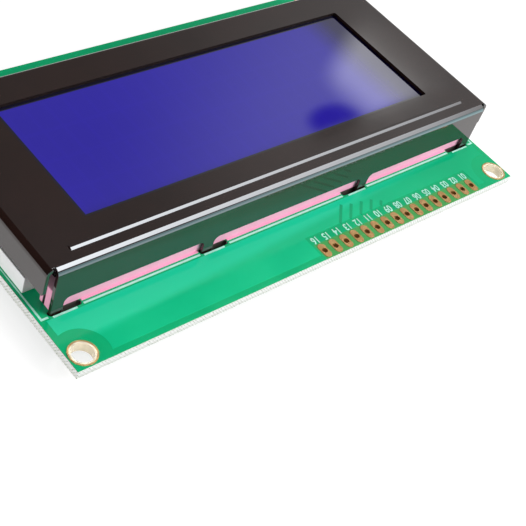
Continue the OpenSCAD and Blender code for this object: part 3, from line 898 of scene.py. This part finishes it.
class LCD_OT_print(PieceOperator):
    """White print: the bezel's outline, the pin numbers and the outlines on the back"""
    bl_idname = "lcd.print"
    bl_label = "Printing"

    def build(self, scene):
        s = scene.lcd_print
        ink = ink_finish(s)
        top = BOARD_HI.z
        self.outline(s, ink, top)
        self.numbers(s, ink, top + scene.lcd_board.copper_t)
        self.back(s, ink)

    def outline(self, s, ink, top):
        """Lines just outside the bezel, open where a slot interrupts them"""
        x = BOARD_HI.x - s.outline_edge
        y = WALL_Y + s.outline_play
        inner, outer = SLOTS
        bm = bmesh.new()
        margin = s.slot_margin
        for side in (-1, 1):
            for end in (-1, 1):
                corner = [(end*x, 0), (end*x, side*y), (end*(outer[1] + margin), side*y)]
                strip(bm, corner, top, top + s.ink_t)
                between = [(end*(outer[0] - margin), side*y),
                           (end*(inner[1] + margin), side*y)]
                strip(bm, between, top, top + s.ink_t)
                for low, high in SLOTS:
                    past = side*(SLOT_Y + (SLOT_W + s.line_w)/2 + s.slot_clear)
                    strip(bm, [(end*(low + s.slot_line), past),
                               (end*(high - SLOT_W/2), past)], top, top + s.ink_t)
            middle = inner[0] - margin
            strip(bm, [(-middle, side*y), (middle, side*y)], top, top + s.ink_t)
        bmesh.ops.remove_doubles(bm, verts=bm.verts, dist=MERGE)
        widen(new_piece("printed_outline", bm, [ink]), s.line_w)

    def numbers(self, s, ink, top):
        for number, (x, _) in enumerate(pin_places(), 1):
            name = f"pin_number_{number}"
            text = bpy.data.curves.new(name, "FONT")
            text.body = f"{number:02}"
            text.size = s.number_h/CAP_HEIGHT
            text.align_x = "CENTER"
            text.extrude = s.ink_t/2
            text.offset = s.number_bold
            maker = bpy.data.objects.new(name, text)
            scene = bpy.context.scene
            scene.collection.objects.link(maker)
            graph = bpy.context.evaluated_depsgraph_get()
            mesh = bpy.data.meshes.new_from_object(maker.evaluated_get(graph))
            bpy.data.objects.remove(maker)
            bm = bmesh.new()
            bm.from_mesh(mesh)
            bmesh.ops.remove_doubles(bm, verts=bm.verts, dist=MERGE)
            narrow = Matrix.Diagonal((s.narrowing, 1, 1, 1))
            place = Matrix.Translation((x, PADS_LO.y - s.number_gap - s.number_h,
                                        top + s.ink_t/2))
            bmesh.ops.transform(bm, matrix=place @ narrow, verts=bm.verts)
            new_piece(name, bm, [ink])

    def back(self, s, ink):
        """Rings round the resin caps and frames round the chips"""
        back = BOARD_LO.z
        low = back - s.ink_t
        bm = bmesh.new()
        for node in CAPS:
            lo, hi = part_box(node)
            r = (hi.x - lo.x)/2 + s.ring_gap
            ring = arc((lo.x + hi.x)/2, (lo.y + hi.y)/2, r, 0, 360, 72)[:-1]
            strip(bm, ring, low, back, closed=True)
        for node, count in CHIP_ROWS:
            lo, hi, rows = chip_places(node, count)
            middle = (lo.y + hi.y)/2
            bottom, top = middle - s.frame_h/2, middle + s.frame_h/2
            for left, right in rows:
                left, right = left - s.frame_gap, right + s.frame_gap
                strip(bm, [(left, bottom), (right, bottom), (right, top), (left, top)],
                      low, back, closed=True)
        widen(new_piece("printed_marks_back", bm, [ink]), s.back_line_w)


class LCD_OT_plating(PieceOperator):
    """Gold rings of the mounting holes and gold-flashed copper of the header pads"""
    bl_idname = "lcd.plating"
    bl_label = "Plated Holes"

    def build(self, scene):
        s = scene.lcd_metal
        dress("mounting_hole_rings", ring_finish(s))
        dress("header_pads", metal_finish("copper_plating", s.copper, 0.2, 0.75, 0.4))


class LCD_OT_bezel(PieceOperator):
    """Folded steel bezel in glossy black-brown enamel"""
    bl_idname = "lcd.bezel"
    bl_label = "Bezel"

    def build(self, scene):
        s = scene.lcd_bezel
        bm = merged_copy("bezel")
        reach = 0.05*MM

        def at_window(place):
            return all(low - reach < value < high + reach
                       for low, value, high in zip(WINDOW_LO, place, WINDOW_HI))

        def cut_across(face):
            """A punched edge: as narrow as the sheet, between sharp edges"""
            narrow = 2*face.calc_area() < face.calc_perimeter()*s.sheet
            return narrow and all(e.calc_face_angle(0) > 1 for e in face.edges)

        for face in bm.faces:
            inside = at_window(face.calc_center_median()) and abs(face.normal.z) < 0.5
            # The window's walls and the sheet's narrow cut faces take the dull finish, whose
            # darker colour is painted shade
            face.material_index = 1 if inside or cut_across(face) else 0
        round_edges(bm, s.edge_round,
                    within=lambda e: not at_window((e.verts[0].co + e.verts[1].co)/2))
        bezel = new_piece("bezel_enamelled", bm, [enamel_finish(s), cut_edge_finish(s)],
                          "bezel")
        smooth(bezel, math.radians(34))


class LCD_OT_cell(PieceOperator):
    """Liquid-crystal cell: glass plates, seal, polarizers and elastomer strips"""
    bl_idname = "lcd.cell"
    bl_label = "Display Cell"

    def build(self, scene):
        s = scene.lcd_cell
        film = film_finish(s)
        glass = glass_finish(s)
        elastomer = elastomer_finish(s)
        dress("front_polarizer", film)
        dress("rear_polarizer", film)
        dress("front_glass", glass)
        dress("rear_glass", glass)
        dress("cell_seal", plastic_finish("cell_sealant", s.sealant, 0.6))
        for node in ("zebra_strip_header_side", "zebra_strip_far_side"):
            bm = merged_copy(node)
            round_edges(bm, HOUSING_ROUND, segments=3)
            strip_piece = new_piece(node + "_moulded", bm, [elastomer], node)
            smooth(strip_piece)
        self.lips(s, elastomer)

    def lips(self, s, elastomer):
        """The pressed foot of each strip, open where a tab of the bezel stands"""
        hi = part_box("zebra_strip_header_side")[1]
        (inner_in, inner_out), (outer_in, _) = SLOTS
        outer_y = WALL_Y - 0.33*MM
        bm = bmesh.new()
        for side in (-1, 1):
            for left, right in ((-outer_in, -inner_out), (-inner_in, inner_in),
                                (inner_out, outer_in)):
                near, far = sorted((side*(hi.y - s.lip), side*outer_y))
                block(bm, (left + s.lip, near, BOARD_HI.z), (right - s.lip, far,
                                                             BOARD_HI.z + s.lip))
        round_edges(bm, s.lip/3)
        smooth(new_piece("zebra_strip_lips", bm, [elastomer]))


class LCD_OT_backlight(PieceOperator):
    """Edge-lit backlight: frame, guide, films, lamp strip, leads and solder"""
    bl_idname = "lcd.backlight"
    bl_label = "Backlight"

    def build(self, scene):
        s, metal = scene.lcd_backlight, scene.lcd_metal
        bm = merged_copy("backlight_frame")
        round_edges(bm, HOUSING_ROUND, segments=3)
        white = plastic_finish("white_plastic", s.frame, 0.42)
        smooth(new_piece("backlight_frame_moulded", bm, [white],
                         "backlight_frame"))
        films = plastic_finish("diffuser_sheet", s.film, 0.7)
        dress("light_guide", clear_finish(s))
        dress("diffuser_film", films)
        dress("reflector_film", films)
        dress("led_strip_board", plastic_finish("strip_laminate", shade(s.film, 0.9), 0.55))
        dress("backlight_leds", plastic_finish("led_resin", s.phosphor, 0.25))
        wire = metal_finish("tinned_lead", metal.tin, 0.28, 0.85)
        dress("backlight_anode_lead", wire)
        dress("backlight_cathode_lead", wire)
        dress("lead_solder_joints", metal_finish("solder", metal.solder, 0.22, 0.8))


class LCD_OT_circuits(PieceOperator):
    """Circuits on the back: resin caps over bare chips, and chips with tinned terminals"""
    bl_idname = "lcd.circuits"
    bl_label = "Back Circuits"

    def build(self, scene):
        s, metal = scene.lcd_circuit, scene.lcd_metal
        resin = resin_finish(s)
        for node in CAPS:
            dress(node, resin)
        dress("chip_resistors", plastic_finish("resistor_body", s.resistor, 0.3))
        dress("chip_capacitors", plastic_finish("capacitor_body", s.capacitor, 0.4))
        tin = metal_finish("chip_terminal", metal.tin, 0.3, 0.85)
        solder = metal_finish("chip_solder", metal.solder, 0.22, 0.8)
        for node, count in CHIP_ROWS:
            self.terminals(s, node, count, tin)
            self.fillets(s, node, count, solder)

    def terminals(self, s, node, count, material):
        lo, hi, rows = chip_places(node, count)
        t, length = s.terminal_t, s.terminal_l
        bm = bmesh.new()
        for left, right in rows:
            for y0, y1 in ((lo.y - t, lo.y + length), (hi.y - length, hi.y + t)):
                block(bm, (left - t, y0, lo.z - t), (right + t, y1, hi.z - s.terminal_lift))
        round_edges(bm, s.terminal_round)
        smooth(new_piece(node + "_terminals", bm, [material]))

    def fillets(self, s, node, count, material):
        """A wedge of solder in front of each terminal, hollow towards the light"""
        lo, hi, rows = chip_places(node, count)
        bm = bmesh.new()
        height = (hi.z - lo.z)*0.75
        steps = 6
        points = [(s.fillet*(1 - math.cos(a)), height*(1 - math.sin(a)))
                  for a in (math.pi/2*i/steps for i in range(steps + 1))]
        for left, right in rows:
            start = left - s.fillet_side
            for wall, out in ((lo.y - s.terminal_t, -1), (hi.y + s.terminal_t, 1)):
                profile = [bm.verts.new((start, wall + out*py, -pz)) for py, pz in points]
                profile.append(bm.verts.new((start, wall, 0)))
                face = bm.faces.new(profile)
                grown = bmesh.ops.extrude_face_region(bm, geom=[face])["geom"]
                side = [g for g in grown if isinstance(g, bmesh.types.BMVert)]
                bmesh.ops.translate(bm, verts=side, vec=(right + s.fillet_side - start, 0, 0))
        bmesh.ops.remove_doubles(bm, verts=bm.verts, dist=0.0001*MM)
        bmesh.ops.recalc_face_normals(bm, faces=bm.faces)
        smooth(new_piece(node + "_solder", bm, [material]), math.radians(40))


class LCD_OT_stage(PieceOperator):
    """Pale floor, soft surround, one softbox and camera"""
    bl_idname = "lcd.stage"
    bl_label = "Stage"

    def build(self, scene):
        s = scene.lcd_stage
        scene.view_settings.view_transform = "Standard"
        self.floor(s)
        self.surround(s, scene)
        self.lamp("softbox", s.key, width=0.5, height=0.6, place=(-0.45, 0.63, 0.43))
        self.lamp("low_light", s.low, width=0.5, height=0.03, place=(0.8, -0.1, 0.06))
        self.camera(scene)

    def floor(self, s):
        bm = bmesh.new()
        bmesh.ops.create_grid(bm, x_segments=1, y_segments=1, size=s.floor_size/2)
        bmesh.ops.translate(bm, verts=bm.verts, vec=(0, 0, CAD_BOX[0][2]))
        mesh = bpy.data.meshes.new("floor")
        bm.to_mesh(mesh)
        bm.free()
        floor = bpy.data.objects.new("floor", mesh)
        bpy.context.scene.collection.objects.link(floor)
        material = bpy.data.materials.new("pale_floor")
        material.use_nodes = True
        tree = material.node_tree
        tree.nodes.clear()
        path = add(tree, "ShaderNodeLightPath")
        seen = maths(tree, "MAXIMUM", path.outputs["Is Camera Ray"],
                     maths(tree, "MAXIMUM", path.outputs["Is Glossy Ray"],
                           path.outputs["Is Transmission Ray"]))
        white = add(tree, "ShaderNodeBsdfDiffuse", {"Color": rgba((s.floor_tone,)*3)})
        glow = add(tree, "ShaderNodeEmission", {"Color": (1, 1, 1, 1)})
        tree.links.new(maths(tree, "MULTIPLY", seen, s.floor_glow), glow.inputs["Strength"])
        parts = add(tree, "ShaderNodeSeparateXYZ")
        tree.links.new(add(tree, "ShaderNodeTexCoord").outputs["Object"], parts.inputs[0])
        # Painted light: seen only in reflections, the floor in front of the board glows cyan,
        # standing in for the light from the header's side
        near = ease(tree, parts.outputs["Y"], BOARD_HI.y, BOARD_HI.y + 0.01, 0, s.front)
        front_glow = add(tree, "ShaderNodeEmission", {"Color": (*FRONT_TINT, 1)})
        tree.links.new(maths(tree, "MULTIPLY", near, path.outputs["Is Glossy Ray"]),
                       front_glow.inputs["Strength"])
        both = add(tree, "ShaderNodeAddShader")
        all_three = add(tree, "ShaderNodeAddShader")
        out = add(tree, "ShaderNodeOutputMaterial")
        tree.links.new(white.outputs[0], both.inputs[0])
        tree.links.new(glow.outputs[0], both.inputs[1])
        tree.links.new(both.outputs[0], all_three.inputs[0])
        tree.links.new(front_glow.outputs[0], all_three.inputs[1])
        tree.links.new(all_three.outputs[0], out.inputs["Surface"])
        mesh.materials.append(material)

    def surround(self, s, scene):
        """White to the camera; in reflections a soft sky with a long softbox and a window"""
        world = bpy.data.worlds.new("surround")
        scene.world = world
        world.use_nodes = True
        tree = world.node_tree
        tree.nodes.clear()
        path = add(tree, "ShaderNodeLightPath")
        parts = add(tree, "ShaderNodeSeparateXYZ")
        place = add(tree, "ShaderNodeTexCoord").outputs["Generated"]
        tree.links.new(place, parts.inputs["Vector"])
        x, y, z = (parts.outputs[axis] for axis in "XYZ")
        roll = maths(tree, "MULTIPLY", maths(tree, "ARCTAN2", y, z), 180/math.pi)
        window, dark = self.window(tree, x, y, z, s)
        sky = maths(tree, "MULTIPLY", self.sky(tree, x, y), maths(tree, "SUBTRACT", 1, dark))
        glossy = maths(tree, "ADD", sky, window)
        seen = maths(tree, "MAXIMUM", path.outputs["Is Camera Ray"],
                     path.outputs["Is Transmission Ray"])
        above = ease(tree, z, 0.1, 0.8, s.fill_low, s.fill_high)
        shaded = ease(tree, x, -0.1, 0.6, 1, s.fill_right)
        fill = maths(tree, "MULTIPLY", above, shaded)
        plain = maths(tree, "MULTIPLY_ADD", glossy, path.outputs["Is Glossy Ray"], seen)
        plain = maths(tree, "MULTIPLY_ADD", fill, path.outputs["Is Diffuse Ray"], plain)
        total = light(tree, PLAIN_TINT, plain)
        front = ease(tree, roll, 57, 69, 0, s.front)
        for tint, strength in ((BOX_TINT, self.long_box(tree, x, roll)), (FRONT_TINT, front)):
            strength = maths(tree, "MULTIPLY", strength, path.outputs["Is Glossy Ray"])
            both = add(tree, "ShaderNodeAddShader")
            tree.links.new(total, both.inputs[0])
            tree.links.new(light(tree, tint, strength), both.inputs[1])
            total = both.outputs[0]
        out = add(tree, "ShaderNodeOutputWorld")
        tree.links.new(total, out.inputs["Surface"])

    def sky(self, tree, x, y):
        """Dim sky, brighter low on the left, and nearly black on the right"""
        sky = maths(tree, "MULTIPLY", ease(tree, x, -0.68, -0.52, 0.55, 0.26),
                    ease(tree, y, -0.57, -0.47, 0.7, 1))
        return maths(tree, "MULTIPLY", sky, ease(tree, x, -0.40, -0.25, 1, 0.08))

    def long_box(self, tree, x, roll):
        """A long softbox along X that grows brighter towards the right, by its roll about X"""
        far = ease(tree, roll, -27, -21)
        low = maths(tree, "SUBTRACT", roll, ease(tree, x, -0.70, -0.54, 13, 0))
        near = ease(tree, low, 39, 48, 1, 0)
        fade = add(tree, "ShaderNodeMapRange", {"From Min": -0.79, "From Max": -0.44,
                                                "To Min": 1.6, "To Max": 14.5})
        tree.links.new(x, fade.inputs["Value"])
        box = maths(tree, "MULTIPLY", far, near)
        for part in (ease(tree, x, -0.80, -0.73), ease(tree, x, -0.42, -0.30, 1, 0),
                     fade.outputs["Result"]):
            box = maths(tree, "MULTIPLY", box, part)
        return box

    def window(self, tree, x, y, z, s):
        """A slanting window and a dark patch beside it, each by where its reflection falls
        on the display as the camera sees it"""
        height = CAMERA_AT.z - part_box("front_polarizer")[1].z
        fall_x, fall_y = (maths(tree, "MULTIPLY_ADD", maths(tree, "DIVIDE", part, z), height, at)
                          for part, at in ((x, CAMERA_AT.x), (y, CAMERA_AT.y)))
        slant = maths(tree, "MULTIPLY_ADD", maths(tree, "ADD", fall_x, 23*MM), -0.54, fall_y)
        near = ease(tree, fall_y, 11*MM, 11.9*MM, 1, 0.1)
        window = maths(tree, "GREATER_THAN", z, 0.05)
        for part in (near, ease(tree, fall_x, -28.5*MM, -19*MM, s.window, 0),
                     ease(tree, fall_x, -39.1*MM, -38.3*MM, 0.3, 1),
                     ease(tree, fall_x, -50*MM, -39*MM),
                     ease(tree, slant, -2.5*MM, 4.5*MM)):
            window = maths(tree, "MULTIPLY", window, part)
        patch_x, patch_y, half_l, half_w = -16.5*MM, 10.5*MM, 7*MM, 4.5*MM
        off_x = maths(tree, "MULTIPLY", maths(tree, "SUBTRACT", fall_x, patch_x), 1/half_l)
        off_y = maths(tree, "MULTIPLY", maths(tree, "SUBTRACT", fall_y, patch_y), 1/half_w)
        off = maths(tree, "MULTIPLY_ADD", off_x, off_x, maths(tree, "MULTIPLY", off_y, off_y))
        return window, maths(tree, "MULTIPLY", near, ease(tree, off, 0.25, 1.2, 0.9, 0))

    def lamp(self, name, power, width, height, place):
        """A rectangular lamp aimed at the module, left out of reflections"""
        data = bpy.data.lights.new(name, "AREA")
        data.shape = "RECTANGLE"
        data.size, data.size_y = width, height
        data.energy = power
        lamp = bpy.data.objects.new(name, data)
        bpy.context.scene.collection.objects.link(lamp)
        lamp.location = place
        lamp.rotation_euler = (-lamp.location).to_track_quat("-Z", "Y").to_euler()
        lamp.visible_glossy = False

    def camera(self, scene):
        data = bpy.data.cameras.new("camera")
        data.sensor_width = CAMERA_SENSOR
        data.lens = CAMERA_LENS
        data.clip_start = 0.01
        data.clip_end = 20
        camera = bpy.data.objects.new("camera", data)
        scene.collection.objects.link(camera)
        camera.location = CAMERA_AT
        look = (CAMERA_AIM - camera.location).to_track_quat("-Z", "Y")
        roll = Quaternion((0, 0, 1), CAMERA_ROLL)
        camera.rotation_mode = "QUATERNION"
        camera.rotation_quaternion = look @ roll
        scene.camera = camera


class LCD_PT_panel(bpy.types.Panel):
    """Lists the pieces of the module"""
    bl_idname = "LCD_PT_panel"
    bl_label = "LCD Module"
    bl_space_type = "VIEW_3D"
    bl_region_type = "UI"
    bl_category = "LCD Module"

    def draw(self, context):
        for operator in OPERATORS:
            self.layout.operator(operator.bl_idname)
        for name, group in GROUPS.items():
            box = self.layout.box()
            for label in group.__annotations__:
                box.prop(getattr(context.scene, name), label)


OPERATORS = [LCD_OT_stage, LCD_OT_board, LCD_OT_copper, LCD_OT_print, LCD_OT_plating,
             LCD_OT_bezel, LCD_OT_cell, LCD_OT_backlight, LCD_OT_circuits]
CLASSES = [*GROUPS.values(), *OPERATORS, LCD_PT_panel]


def register():
    for each in CLASSES:
        bpy.utils.register_class(each)
    for name, group in GROUPS.items():
        setattr(bpy.types.Scene, name, PointerProperty(type=group))


def unregister():
    for name in GROUPS:
        delattr(bpy.types.Scene, name)
    for each in reversed(CLASSES):
        bpy.utils.unregister_class(each)


def main():
    register()
    for operator in OPERATORS:
        area, name = operator.bl_idname.split(".")
        getattr(getattr(bpy.ops, area), name)()


if __name__ == "__main__":
    main()
